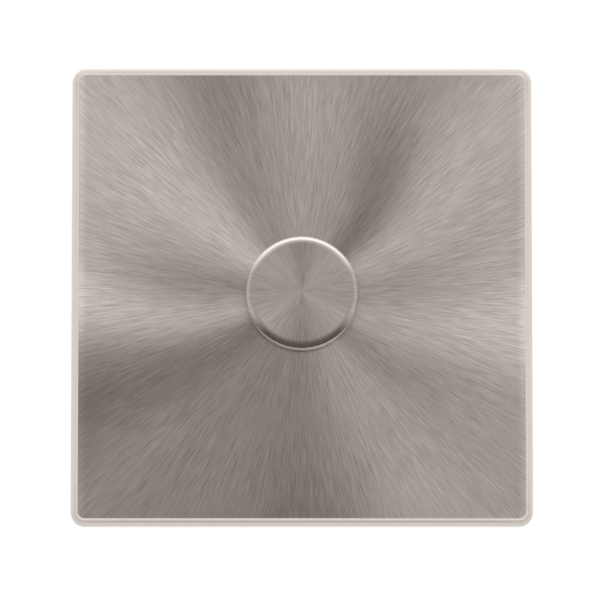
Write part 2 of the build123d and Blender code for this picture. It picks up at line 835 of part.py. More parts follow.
# Fixed contacts: a button, a strip in the base and a leg to the circuit board
with BuildPart() as switch_contacts:
    for side in (-1, 1):
        with BuildSketch(at(base_front - contact_strip)):
            with Locations((side * (contact_x - contact_r + strip_x) / 2, 0)):
                Rectangle(strip_x - contact_x + contact_r, contact_strip_width)
        extrude(amount=contact_strip)
        with BuildSketch(at(base_front)):
            with Locations((side * contact_x, 0)):
                Circle(contact_r)
        extrude(amount=contact_front - base_front)
        with BuildSketch(at(base_front - contact_strip)):
            with Locations((side * (strip_x - contact_strip / 2), 0)):
                Rectangle(contact_strip, contact_strip_width)
        extrude(amount=board_rear - base_front + contact_strip)
        with BuildSketch(at(board_rear)):
            with Locations((side * (strip_x - contact_strip / 2), 0)):
                Rectangle(contact_strip, pin_side)
        extrude(amount=board_thickness - lead_clearance)
switch_contacts.part.label = "switch_contacts"
export_step(switch_contacts.part, "parts/switch_contacts.step")

# Return spring of the plunger
spring_front = flange_plunger_rear - spring_seat_gap - spring_wire_r
spring_end = base_front - spring_pocket_depth + spring_seat_gap + spring_wire_r
spring_height = spring_front - spring_end
with BuildPart() as return_spring:
    with BuildLine():
        coil = Helix(
            pitch=spring_height / spring_turns,
            height=spring_height,
            radius=spring_r,
            center=(0, -spring_end, 0),
            direction=(0, -1, 0),
        )
    with BuildSketch(Plane(origin=coil @ 0, z_dir=coil % 0)):
        RegularPolygon(spring_wire_r, 6)
    sweep(path=coil, is_frenet=True)
return_spring.part.label = "return_spring"
export_step(return_spring.part, "parts/return_spring.step")

# Circuit board with notched corners, the switch opening and holes for every lead
film_pins = [(film_x + i * (film_width / 2 - film_pin_inset), film_z) for i in (-1, 1)]
reservoir_pins = [(reservoir_x + i * radial_lead_pitch / 2, reservoir_z) for i in (-1, 1)]
varistor_pins = [(varistor_x + i * radial_lead_pitch / 2, varistor_z) for i in (-1, 1)]
fuse_pins = [(fuse_x + i * radial_lead_pitch / 2, fuse_z) for i in (-1, 1)]
trim_pins = [(trim_x + i * trim_side / 3, trim_z - trim_side / 3) for i in (-1, 1)]
terminal_xs = [(i - (terminal_count - 1) / 2) * terminal_pitch for i in range(terminal_count)]
terminal_pins = [(x, clamp_z) for x in terminal_xs]
lead_z = transistor_z - transistor_lead_drop
transistor_pins = [
    (side * transistor_x + i * transistor_lead_pitch, lead_z)
    for side in (-1, 1)
    for i in (-1, 0, 1)
]
turn_out_r = toroid_outer_r + winding_gap + winding_wire / 2
turn_in_r = toroid_inner_r - winding_gap - winding_wire / 2
turn_angles = [
    180 + winding_span_deg * (i / (winding_turns - 1) - 1 / 2)
    for i in range(winding_turns)
]
toroid_pins = [
    (toroid_x + turn_out_r * cos(radians(angle)), toroid_z + turn_out_r * sin(radians(angle)))
    for angle in (turn_angles[0], turn_angles[-1])
]
square_pins = (
    film_pins + reservoir_pins + varistor_pins + fuse_pins
    + control_pins + trim_pins + terminal_pins + transistor_pins
)
with BuildPart() as circuit_board:
    with BuildSketch(at(board_rear)):
        Rectangle(board_width, board_height)
        with GridLocations(2 * boss_x, 2 * boss_z, 2, 2):
            Circle(boss_r + 2 * board_clearance, mode=Mode.SUBTRACT)
            RectangleRounded(2 * boss_r, 2 * boss_r, board_notch_corner, mode=Mode.SUBTRACT)
        Circle(board_hole_r, mode=Mode.SUBTRACT)
        with Locations(*square_pins):
            Rectangle(hole_side, hole_side, mode=Mode.SUBTRACT)
        with Locations(*toroid_pins):
            Circle(winding_wire / 2 + lead_clearance, mode=Mode.SUBTRACT)
        with GridLocations(2 * strip_x - contact_strip, 0, 2, 1):
            Rectangle(contact_strip + 2 * lead_clearance, hole_side, mode=Mode.SUBTRACT)
    extrude(amount=board_thickness)
circuit_board.part.label = "circuit_board"
export_step(circuit_board.part, "parts/circuit_board.step")


def power_transistor(x):
    """Flat power transistor with its metal tab against the heat sink and three bent leads."""
    with BuildPart() as device:
        with BuildSketch(at(tab_rear)):
            with Locations((x, transistor_z + transistor_height / 2)):
                Rectangle(transistor_width, transistor_height)
            with Locations((x, transistor_hole_z)):
                Circle(transistor_hole_r, mode=Mode.SUBTRACT)
        extrude(amount=transistor_tab)
        with BuildSketch(at(transistor_rear)):
            with Locations((x, transistor_z + transistor_body / 2)):
                Rectangle(transistor_width, transistor_body)
        extrude(amount=tab_rear - transistor_rear, taper=-transistor_draft_deg)
        for i in (-1, 0, 1):
            with BuildSketch(at(transistor_rear + pin_side)):
                with Locations((x + i * transistor_lead_pitch, transistor_z - transistor_lead_drop / 2)):
                    Rectangle(pin_side, transistor_lead_drop + pin_side)
            extrude(amount=pin_side)
            with BuildSketch(at(board_rear - lead_tail)):
                with Locations((x + i * transistor_lead_pitch, lead_z)):
                    Rectangle(pin_side, pin_side)
            extrude(amount=transistor_rear + 2 * pin_side - board_rear + lead_tail)
    return device


transistor_left = power_transistor(-transistor_x)
transistor_left.part.label = "transistor_left"
export_step(transistor_left.part, "parts/transistor_left.step")

transistor_right = power_transistor(transistor_x)
transistor_right.part.label = "transistor_right"
export_step(transistor_right.part, "parts/transistor_right.step")

# Insulating pads between the transistors and the heat sink
with BuildPart() as insulating_pads:
    with BuildSketch(at(tab_front)):
        with GridLocations(2 * transistor_x, 0, 2, 1):
            with Locations((0, transistor_z + transistor_height / 2)):
                Rectangle(transistor_width + pad_margin, transistor_height + 2 * pad_margin)
            with Locations((0, transistor_hole_z)):
                Circle(transistor_hole_r, mode=Mode.SUBTRACT)
    extrude(amount=pad_sheet)
insulating_pads.part.label = "insulating_pads"
export_step(insulating_pads.part, "parts/insulating_pads.step")

# Screws that clamp the transistors
with BuildPart() as transistor_screws:
    with BuildSketch(at(tab_rear)):
        with GridLocations(2 * transistor_x, 0, 2, 1):
            with Locations((0, transistor_hole_z)):
                Circle(transistor_screw_r)
    extrude(amount=floor_rear - tab_rear)
    with BuildSketch(at(tab_rear - transistor_head)):
        with GridLocations(2 * transistor_x, 0, 2, 1):
            with Locations((0, transistor_hole_z)):
                Circle(transistor_head_r)
    extrude(amount=transistor_head)
    with BuildSketch(at(tab_rear - transistor_head)):
        with GridLocations(2 * transistor_x, 0, 2, 1):
            with Locations((0, transistor_hole_z)):
                Rectangle(2 * transistor_head_r, cross_width)
    extrude(amount=transistor_head / 2, mode=Mode.SUBTRACT)
transistor_screws.part.label = "transistor_screws"
export_step(transistor_screws.part, "parts/transistor_screws.step")

# Suppression choke: a ferrite ring and its turns of wire
toroid_front = board_rear - winding_wire - winding_gap
toroid_rear = toroid_front - toroid_height
with BuildPart() as toroid_core:
    with BuildSketch(at(toroid_rear)):
        with Locations((toroid_x, toroid_z)):
            Circle(toroid_outer_r)
            Circle(toroid_inner_r, mode=Mode.SUBTRACT)
    extrude(amount=toroid_height)
toroid_core.part.label = "toroid_core"
export_step(toroid_core.part, "parts/toroid_core.step")

# Its wire: each turn is a U over the ring from behind, and a slanted run in front leads to the next one
turn_height = toroid_height + 2 * winding_gap + winding_wire
turn_middle = -(toroid_front + toroid_rear) / 2
with BuildPart() as one_turn:
    with BuildSketch(Plane.XY):
        with Locations((turn_in_r, 0), (turn_out_r, 0)):
            Rectangle(winding_wire, turn_height + winding_wire)
        with Locations(((turn_in_r + turn_out_r) / 2, turn_height / 2)):
            Rectangle(turn_out_r - turn_in_r, winding_wire)
    extrude(amount=winding_wire / 2, both=True)
with BuildPart() as toroid_winding:
    with Locations((toroid_x, turn_middle, toroid_z)):
        for angle in turn_angles[:-1]:
            add(one_turn.part, rotation=(0, -angle, 0))
    with BuildSketch(at(toroid_front + winding_gap)):
        for start, end in zip(turn_angles[:-1], turn_angles[1:]):
            inside = Vector(turn_in_r, 0).rotate(Axis.Z, start)
            outside = Vector(turn_out_r, 0).rotate(Axis.Z, end)
            run = outside - inside
            middle = (inside + outside) / 2
            with Locations((toroid_x + middle.X, toroid_z + middle.Y)):
                Rectangle(run.length + winding_wire, winding_wire, rotation=degrees(atan2(run.Y, run.X)))
    extrude(amount=winding_wire)
    with BuildSketch(at(board_rear - lead_tail)):
        with Locations(*toroid_pins):
            Circle(winding_wire / 2)
    extrude(amount=lead_tail + board_thickness)
toroid_winding.part.label = "toroid_winding"
export_step(toroid_winding.part, "parts/toroid_winding.step")

# Film capacitor
with BuildPart() as film_capacitor:
    with BuildSketch(at(board_rear - film_depth)):
        with Locations((film_x, film_z)):
            Rectangle(film_width, film_height)
    extrude(amount=film_depth)
    chamfer(film_capacitor.edges().filter_by(Axis.Y), length=film_edge)
    with BuildSketch(at(board_rear)):
        with Locations(*film_pins):
            Rectangle(pin_side, pin_side)
    extrude(amount=board_thickness + lead_tail)
film_capacitor.part.label = "film_capacitor"
export_step(film_capacitor.part, "parts/film_capacitor.step")

# Reservoir capacitor: a can with a crimped neck
with BuildPart() as reservoir_capacitor:
    with BuildSketch(at(board_rear - reservoir_length)):
        with Locations((reservoir_x, reservoir_z)):
            Circle(reservoir_r)
    extrude(amount=reservoir_length)
    with BuildSketch(at(board_rear - 3 * reservoir_crimp - reservoir_r / 2)):
        with Locations((reservoir_x, reservoir_z)):
            Circle(reservoir_r + reservoir_crimp)
            Circle(reservoir_r - reservoir_crimp, mode=Mode.SUBTRACT)
    extrude(amount=2 * reservoir_crimp, mode=Mode.SUBTRACT)
    chamfer(reservoir_capacitor.faces().sort_by(Axis.Y)[-1].edges(), length=reservoir_crimp)
    with BuildSketch(at(board_rear)):
        with Locations(*reservoir_pins):
            Rectangle(pin_side, pin_side)
    extrude(amount=board_thickness + lead_tail)
reservoir_capacitor.part.label = "reservoir_capacitor"
export_step(reservoir_capacitor.part, "parts/reservoir_capacitor.step")

# Varistor: an upright coated disc on two leads
varistor_depth = board_rear - varistor_standoff - varistor_r
with BuildPart() as varistor:
    with BuildSketch(level(varistor_z - varistor_thickness / 2)):
        with Locations((varistor_x, -varistor_depth)):
            Circle(varistor_r)
    extrude(amount=varistor_thickness)
    chamfer(varistor.edges().filter_by(GeomType.CIRCLE), length=varistor_thickness / 4)
    with BuildSketch(at(varistor_depth)):
        with Locations(*varistor_pins):
            Rectangle(pin_side, pin_side)
    extrude(amount=board_front + lead_tail - varistor_depth)
varistor.part.label = "varistor"
export_step(varistor.part, "parts/varistor.step")

# Fuse in a round case
with BuildPart() as fuse:
    with BuildSketch(at(board_rear - fuse_length)):
        with Locations((fuse_x, fuse_z)):
            Circle(fuse_r)
    extrude(amount=fuse_length)
    chamfer(fuse.faces().sort_by(Axis.Y)[-1].edges(), length=fuse_edge)
    with BuildSketch(at(board_rear)):
        with Locations(*fuse_pins):
            Rectangle(pin_side, pin_side)
    extrude(amount=board_thickness + lead_tail)
fuse.part.label = "fuse"
export_step(fuse.part, "parts/fuse.step")

# Trimmer for the lowest brightness, with its slotted rotor towards the user
with BuildPart() as trim_pot:
    with BuildSketch(at(board_front)):
        with Locations((trim_x, trim_z)):
            RectangleRounded(trim_side, trim_side, film_edge)
    extrude(amount=trim_height)
    with BuildSketch(at(board_front + trim_height)):
        with Locations((trim_x, trim_z)):
            Circle(trim_rotor_r)
    extrude(amount=trim_slot)
    with BuildSketch(at(board_front + trim_height)):
        with Locations((trim_x, trim_z)):
            Rectangle(2 * trim_rotor_r, trim_slot)
    extrude(amount=trim_slot, mode=Mode.SUBTRACT)
    with BuildSketch(at(board_front)):
        with Locations(*trim_pins):
            Rectangle(pin_side, pin_side)
    extrude(amount=lead_clearance - board_thickness)
trim_pot.part.label = "trim_pot"
export_step(trim_pot.part, "parts/trim_pot.step")

# Controller chip with its rows of legs
with BuildPart() as controller_chip:
    with BuildSketch(at(board_front + chip_standoff)):
        with Locations((chip_x, chip_z)):
            Rectangle(chip_length, chip_width)
    extrude(amount=chip_thickness, taper=chip_draft_deg)
    with BuildSketch(at(board_front)):
        with Locations((chip_x, chip_z)):
            with GridLocations(chip_leg_pitch, chip_width + chip_leg_reach, chip_legs, 2):
                Rectangle(chip_leg_width, chip_leg_reach)
    extrude(amount=chip_standoff + chip_leg_width / 2)
    with BuildSketch(at(board_front + chip_standoff)):
        with Locations((chip_x, chip_z)):
            with GridLocations(chip_leg_pitch, chip_width, chip_legs, 2):
                Rectangle(chip_leg_width, chip_leg_reach / 2)
    extrude(amount=chip_thickness / 2)
controller_chip.part.label = "controller_chip"
export_step(controller_chip.part, "parts/controller_chip.step")

# Terminal block: chambers open downwards for the wires, with screw access from behind
with BuildPart() as terminal_block:
    with BuildSketch(at(module_rear)):
        with Locations((0, (module_bottom + block_top) / 2)):
            Rectangle(block_width, block_top - module_bottom)
    extrude(amount=board_rear - module_rear)
    with BuildSketch(at(clamp_rear - clamp_side_clearance)):
        with Locations(*[(x, (module_bottom + clamp_top + clamp_side_clearance) / 2) for x in terminal_xs]):
            Rectangle(
                clamp_width + 2 * clamp_side_clearance, clamp_top + clamp_side_clearance - module_bottom
            )
    extrude(amount=clamp_depth + clamp_side_clearance, mode=Mode.SUBTRACT)
    with BuildSketch(at(module_rear)):
        with Locations(*terminal_pins):
            Circle(clamp_head_r + clamp_head_clearance)
    extrude(amount=clamp_rear - module_rear, mode=Mode.SUBTRACT)
    with BuildSketch(at(clamp_front)):
        with Locations(*terminal_pins):
            Rectangle(hole_side, hole_side)
    extrude(amount=clamp_floor, mode=Mode.SUBTRACT)
terminal_block.part.label = "terminal_block"
export_step(terminal_block.part, "parts/terminal_block.step")

# Brass clamps: a wire bore from below, a tapped hole from behind and a pin to the board
with BuildPart() as terminal_clamps:
    with BuildSketch(at(clamp_rear)):
        with Locations(*terminal_pins):
            Rectangle(clamp_width, clamp_height)
    extrude(amount=clamp_depth)
    with BuildSketch(level(clamp_bottom)):
        with Locations(*[(x, -wire_depth) for x in terminal_xs]):
            Circle(wire_bore_r)
    extrude(amount=clamp_height, mode=Mode.SUBTRACT)
    with BuildSketch(at(clamp_rear)):
        with Locations(*terminal_pins):
            Circle(clamp_screw_r + clamp_screw_clearance)
    extrude(amount=wire_depth - clamp_rear, mode=Mode.SUBTRACT)
    with BuildSketch(at(clamp_front)):
        with Locations(*terminal_pins):
            Rectangle(pin_side, pin_side)
    extrude(amount=clamp_floor + board_thickness + lead_tail)
terminal_clamps.part.label = "terminal_clamps"
export_step(terminal_clamps.part, "parts/terminal_clamps.step")

# Clamp screws, wound back to leave the wire bores open
with BuildPart() as terminal_screws:
    with BuildSketch(at(clamp_tip - clamp_shank)):
        with Locations(*terminal_pins):
            Circle(clamp_screw_r)
    extrude(amount=clamp_shank)
    with BuildSketch(at(clamp_tip - clamp_shank - clamp_head)):
        with Locations(*terminal_pins):
            Circle(clamp_head_r)
    extrude(amount=clamp_head)
    with BuildSketch(at(clamp_tip - clamp_shank - clamp_head)):
        with Locations(*terminal_pins):
            Rectangle(2 * clamp_head_r, clamp_slot)
    extrude(amount=clamp_head / 2, mode=Mode.SUBTRACT)
terminal_screws.part.label = "terminal_screws"
export_step(terminal_screws.part, "parts/terminal_screws.step")

# Module housing: a rear cup with screw bosses, board supports, vents and a gap for the terminals
inner_width = module_width - 2 * module_wall
inner_height = module_height - 2 * module_wall
with BuildPart() as module_housing:
    with BuildSketch(at(module_rear)):
        RectangleRounded(module_width, module_height, module_corner)
    extrude(amount=module_depth)
    chamfer(module_housing.faces().sort_by(Axis.Y)[-1].edges(), length=module_rear_edge)
    with BuildSketch(at(module_floor)):
        RectangleRounded(inner_width, inner_height, module_corner - module_wall)
    extrude(amount=module_depth - module_wall, mode=Mode.SUBTRACT)
    with BuildSketch(at(module_floor)):
        with GridLocations(2 * boss_x, 2 * boss_z, 2, 2):
            Circle(boss_r)
    extrude(amount=module_front - module_floor)
    with BuildSketch(at(module_floor)):
        with GridLocations(inner_width - support_reach, support_pitch, 2, 2):
            Rectangle(support_reach, support_rib)
    extrude(amount=board_rear - module_floor)
    with BuildSketch(at(module_front)):
        with GridLocations(2 * boss_x, 2 * boss_z, 2, 2):
            Circle(boss_pilot_r)
    extrude(amount=-boss_pilot_depth, mode=Mode.SUBTRACT)
    with BuildSketch(at(module_rear)):
        with Locations((0, vent_centre_z)):
            with GridLocations(vent_pitch, 0, vent_count, 1):
                Rectangle(vent_width, vent_length)
    extrude(amount=module_wall, mode=Mode.SUBTRACT)
    with BuildSketch(level(module_top - 2 * module_wall)):
        with Locations((0, -(board_rear + module_rear) / 2)):
            with GridLocations(2 * vent_pitch, 0, side_vent_count, 1):
                Rectangle(vent_width, side_vent_length)
    extrude(amount=3 * module_wall, mode=Mode.SUBTRACT)
    with BuildSketch(at(module_rear)):
        with Locations((0, module_bottom)):
            Rectangle(block_width + 2 * block_clearance, 2 * (block_top - module_bottom + block_clearance))
    extrude(amount=board_rear + block_clearance - module_rear, mode=Mode.SUBTRACT)
module_housing.part.label = "module_housing"
export_step(module_housing.part, "parts/module_housing.step")

# Tapping screws that hold the housing to the heat sink
with BuildPart() as housing_screws:
    with BuildSketch(at(floor_rear - tap_length)):
        with GridLocations(2 * boss_x, 2 * boss_z, 2, 2):
            Circle(boss_pilot_r - tap_fit)
    extrude(amount=tap_length)
    with BuildSketch(at(floor_rear)):
        with GridLocations(2 * boss_x, 2 * boss_z, 2, 2):
            Circle(tap_head_r)
    extrude(amount=tap_head)
    with BuildSketch(at(floor_rear + tap_head)):
        with GridLocations(2 * boss_x, 2 * boss_z, 2, 2):
            Rectangle(tap_head_r, cross_width)
            Rectangle(cross_width, tap_head_r)
    extrude(amount=-tap_head / 2, mode=Mode.SUBTRACT)
housing_screws.part.label = "housing_screws"
export_step(housing_screws.part, "parts/housing_screws.step")
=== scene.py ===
from math import cos, pi, radians, sin

import bmesh
import bpy
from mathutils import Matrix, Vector


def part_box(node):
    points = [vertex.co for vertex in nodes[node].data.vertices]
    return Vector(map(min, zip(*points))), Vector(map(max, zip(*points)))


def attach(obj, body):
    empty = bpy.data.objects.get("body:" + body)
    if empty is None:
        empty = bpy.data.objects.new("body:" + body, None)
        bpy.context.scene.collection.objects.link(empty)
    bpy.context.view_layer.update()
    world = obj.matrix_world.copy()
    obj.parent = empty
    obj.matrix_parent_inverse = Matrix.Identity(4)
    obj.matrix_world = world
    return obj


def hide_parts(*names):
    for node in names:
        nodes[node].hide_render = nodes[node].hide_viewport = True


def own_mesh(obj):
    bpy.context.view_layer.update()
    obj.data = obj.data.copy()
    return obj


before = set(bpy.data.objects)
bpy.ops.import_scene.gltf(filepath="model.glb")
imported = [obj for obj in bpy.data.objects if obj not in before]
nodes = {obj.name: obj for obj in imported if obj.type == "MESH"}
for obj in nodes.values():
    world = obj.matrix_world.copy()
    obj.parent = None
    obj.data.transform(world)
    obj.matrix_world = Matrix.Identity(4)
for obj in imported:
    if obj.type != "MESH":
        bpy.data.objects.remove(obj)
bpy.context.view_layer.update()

# Blender works in metres. The wall is the plane y = 0 and the user looks along +Y.
MM = 0.001
plate_low, plate_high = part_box("cover_plate")
knob_low, knob_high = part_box("knob_shell")
AXIS_Z = (knob_low.z + knob_high.z) / 2

# Sizes in mm of what the two brushed faces need
PLATE_HALF = plate_high.x / MM
PLATE_EDGE = 1.45
PLATE_CORNER = 2.7
KNOB_R = knob_high.x / MM
KNOB_EDGE = 1.06
KNOB_FRONT = knob_low.y / MM


class Tree:
    """Short calls for building one node tree."""

    def __init__(self, owner):
        owner.use_nodes = True
        self.nodes = owner.node_tree.nodes
        self.links = owner.node_tree.links

    def put(self, socket, value):
        if isinstance(value, bpy.types.NodeSocket):
            self.links.new(value, socket)
        elif value is not None:
            socket.default_value = value

    def add(self, kind, inputs=(), **settings):
        node = self.nodes.new(kind)
        for key, value in settings.items():
            setattr(node, key, value)
        for key, value in dict(inputs).items():
            self.put(node.inputs[key], value)
        return node

    def math(self, operation, first, second=None, third=None):
        node = self.add("ShaderNodeMath", operation=operation)
        for socket, value in zip(node.inputs, (first, second, third)):
            self.put(socket, value)
        return node.outputs[0]

    def times(self, first, *others):
        """Product of all the values."""
        for other in others:
            first = self.math("MULTIPLY", first, other)
        return first

    def length(self, first, second):
        """Length of a line with these two parts."""
        return self.math("SQRT", self.math("ADD", self.times(first, first), self.times(second, second)))

    def smooth(self, value, low, high, start=0.0, end=1.0):
        """Smooth step of a value from low to high, mapped to start and end."""
        inputs = {"Value": value, "From Min": low, "From Max": high, "To Min": start, "To Max": end}
        return self.add("ShaderNodeMapRange", inputs, interpolation_type="SMOOTHSTEP").outputs[0]

    def band(self, value, rise, fall):
        """1 between two smooth steps, each given by its start and end, and 0 outside."""
        return self.times(self.smooth(value, *rise), self.smooth(value, *fall, start=1.0, end=0.0))

    def mix(self, factor, first, second, blend="MIX"):
        node = self.add("ShaderNodeMix", data_type="RGBA", blend_type=blend)
        self.put(node.inputs["Factor"], factor)
        self.put(node.inputs["A"], first)
        self.put(node.inputs["B"], second)
        return node.outputs["Result"]

    def grey(self, level):
        """The same level in all three channels."""
        return self.add("ShaderNodeCombineColor", {0: level, 1: level, 2: level}).outputs[0]

    def shaded(self, colour, level):
        """A colour times one level."""
        return self.mix(1.0, colour, self.grey(level), "MULTIPLY")

    def split(self, vector):
        """The three parts of a vector."""
        parts = self.add("ShaderNodeSeparateXYZ", {"Vector": vector}).outputs
        return parts["X"], parts["Y"], parts["Z"]

    def noise(self, vector, scale, detail=2.0, roughness=0.5):
        inputs = {"Vector": vector, "Scale": scale, "Detail": detail, "Roughness": roughness}
        return self.add("ShaderNodeTexNoise", inputs).outputs["Fac"]

    def bump(self, height, distance, strength):
        inputs = {"Height": height, "Distance": distance, "Strength": strength}
        return self.add("ShaderNodeBump", inputs).outputs["Normal"]


def new_material(name):
    """A material with its tree, its main shader and the object's own coordinates."""
    material = bpy.data.materials.new(name)
    tree = Tree(material)
    shader = tree.nodes["Principled BSDF"]
    place = tree.add("ShaderNodeTexCoord").outputs["Object"]
    return material, tree, shader, place


def grey(value):
    return (value, value, value, 1.0)


def tint(colour, gain=1.0):
    return tuple(min(1.0, channel * gain) for channel in colour) + (1.0,)


def warmer(colour, share):
    """A colour with more red and less blue by a share."""
    return (colour[0] * (1 + share), colour[1], colour[2] * (1 - share), 1.0)


# Radially brushed metal of the plate and the knob, lengths in mm
PEARL = (0.487, 0.439, 0.399)
# Tone of the plate's rounded edge, lighter than the face: the same metal with a painted highlight
EDGE_HIGHLIGHT_TONE = (0.74, 0.675, 0.625)
# Tone of the knob's edge and its upper crescent: painted highlight
KNOB_EDGE_HIGHLIGHT = (0.92, 0.88, 0.84)
# Painted shade of the knob's lower rounded edge, where it faces the dark below
KNOB_LOWER_SHADE = (0.115, 0.095, 0.085)
WARM_IN_SHADE = 0.03
WARM_IN_LIGHT = -0.02
SHADE_SPAN = (0.6, 1.5)
LINE_LENGTH = 5.0
FIRST_RING = 2.0
FINER_FROM = 0.6
FINER_TO = 0.9
LINES_BEYOND = 1.2
WEDGES_FROM = 0.25
SMALLEST_R = 0.01
BLOTCH_SCALE = 60.0
BLOTCHES = 0.06
EDGE_FADE = (-0.05, 0.1)
EDGE_ROUGHNESS = -0.06
BRUSH_ROUGHNESS = 0.05
BRUSH_DEPTH = 0.004
BRUSH_STRENGTH = 0.6
ANISOTROPY = 0.6

# The plate's rim: where its painted highlight band and the painted shade band outside it rise and fall
# beyond it, their levels beside the middle and above or below it, the sine between the two, and the painted
# highlight strip at the left and right
RIM_HIGHLIGHT_BAND = ((0.0, 0.12), (0.3, 0.5))
RIM_SHADE_BAND = ((0.4, 0.6), (0.75, 0.95))
RIM_HIGHLIGHT_LEVELS = (0.42, 0.22)
RIM_SHADE_LEVELS = (0.0, -0.3)
ENDS_SPAN = (0.6, 0.8)
SIDE_HIGHLIGHT_WIDTH = 1.8
SIDE_HIGHLIGHT_GAIN = 1.22

# The knob's edge: sines of the angle between which the painted crescents, highlight above and shade below,
# and the edge's painted highlight change, and the crescents' place as shares of the rounding, outwards from
# the knob's radius and back from its front
CRESCENT_SPAN = (0.3, 0.8)
CRESCENT_OUTWARD = (-1.5, -0.5)
CRESCENT_BACK = (0.75, 1.0)
KNOB_EDGE_LIGHT_SPAN = (0.15, 0.75)
KNOB_EDGE_LIGHT_LEVELS = (0.58, 1.0)
KNOB_EDGE_METAL = -0.3


def polar(tree, x, z):
    """Radius in mm, angle in degrees anticlockwise from the right, and its cosine and sine."""
    up = tree.math("SUBTRACT", z, AXIS_Z)
    radius = tree.math("MAXIMUM", tree.length(x, up), SMALLEST_R * MM)
    angle = tree.times(tree.math("ARCTAN2", up, x), 180 / pi)
    cosine = tree.math("DIVIDE", x, radius)
    sine = tree.math("DIVIDE", up, radius)
    return tree.math("DIVIDE", radius, MM), angle, cosine, sine


def streaks(tree, radius, cosine, sine, cells, seed):
    """Noise with about cells x 6.3 fine lines round the circle."""
    inputs = {
        "X": tree.times(cosine, cells),
        "Y": tree.times(sine, cells),
        "Z": tree.math("MULTIPLY_ADD", radius, 1 / LINE_LENGTH, seed),
    }
    vector = tree.add("ShaderNodeCombineXYZ", inputs).outputs[0]
    return tree.noise(vector, 1.0, detail=2.0, roughness=0.75)


def brushing(tree, radius, cosine, sine, reach, seed, width):
    """Brush lines of even width from the middle outwards, from -1 to 1: each ring has twice the lines."""
    ring_r = FIRST_RING
    value = streaks(tree, radius, cosine, sine, ring_r / width, seed)
    while ring_r < reach:
        ring_r *= 2
        finer = streaks(tree, radius, cosine, sine, ring_r / width, seed + ring_r)
        outward = tree.smooth(radius, FINER_FROM * ring_r, FINER_TO * ring_r)
        change = tree.times(outward, tree.math("SUBTRACT", finer, value))
        value = tree.math("ADD", value, change)
    return tree.math("MULTIPLY_ADD", value, 2.0, -1.0)


def sheen_sectors(tree, radius, angle, sectors, reach):
    """Sum of soft wedges of painted sheen and shade: middle, drift outwards and half width in degrees, gain
    inside and at the reach.
    """
    outward = tree.smooth(radius, WEDGES_FROM * reach, reach)
    total = 0.0
    for middle, drift, half, inner, outer in sectors:
        bent = tree.math("MULTIPLY_ADD", outward, -drift, tree.math("SUBTRACT", angle, middle))
        offset = tree.math("WRAP", bent, 180.0, -180.0)
        wedge = tree.smooth(tree.math("ABSOLUTE", offset), 0.0, half, 1.0, 0.0)
        gain = tree.math("MULTIPLY_ADD", outward, outer - inner, inner)
        total = tree.math("ADD", total, tree.times(wedge, gain))
    return total


def plate_distance(tree, x, z):
    """Distance in mm from the middle that is level along the plate's outline with its rounded corners."""
    straight = PLATE_HALF - PLATE_CORNER
    over = []
    for along in (x, z):
        side = tree.math("DIVIDE", tree.math("ABSOLUTE", along), MM)
        over.append(tree.math("MAXIMUM", tree.math("SUBTRACT", side, straight), 0.0))
    return tree.math("ADD", tree.length(*over), straight)


def painted_rim_light(tree, distance, upright, rim):
    """Levels of the painted highlight band and of the painted shade band outside it, where the plate's edge
    starts at the rim.
    """
    highlight_band = tree.band(distance, *[[rim + offset for offset in step] for step in RIM_HIGHLIGHT_BAND])
    shade_band = tree.band(distance, *[[rim + offset for offset in step] for step in RIM_SHADE_BAND])
    highlight_level = tree.smooth(upright, *ENDS_SPAN, *RIM_HIGHLIGHT_LEVELS)
    shade_level = tree.smooth(upright, *ENDS_SPAN, *RIM_SHADE_LEVELS)
    band_light = tree.math("ADD", tree.times(highlight_band, highlight_level), tree.times(shade_band, shade_level))
    return tree.math("ADD", band_light, 1.0)


def painted_crescent(tree, y, radius, towards):
    """Weight of a painted crescent on one side of the knob's rounded front edge: highlight above, shade
    below.
    """
    side = tree.smooth(towards, *CRESCENT_SPAN)
    outward = tree.smooth(radius, *[KNOB_R + share * KNOB_EDGE for share in CRESCENT_OUTWARD])
    back_span = [(KNOB_FRONT + share * KNOB_EDGE) * MM for share in CRESCENT_BACK]
    return tree.times(side, outward, tree.smooth(y, *back_span, 1.0, 0.0))


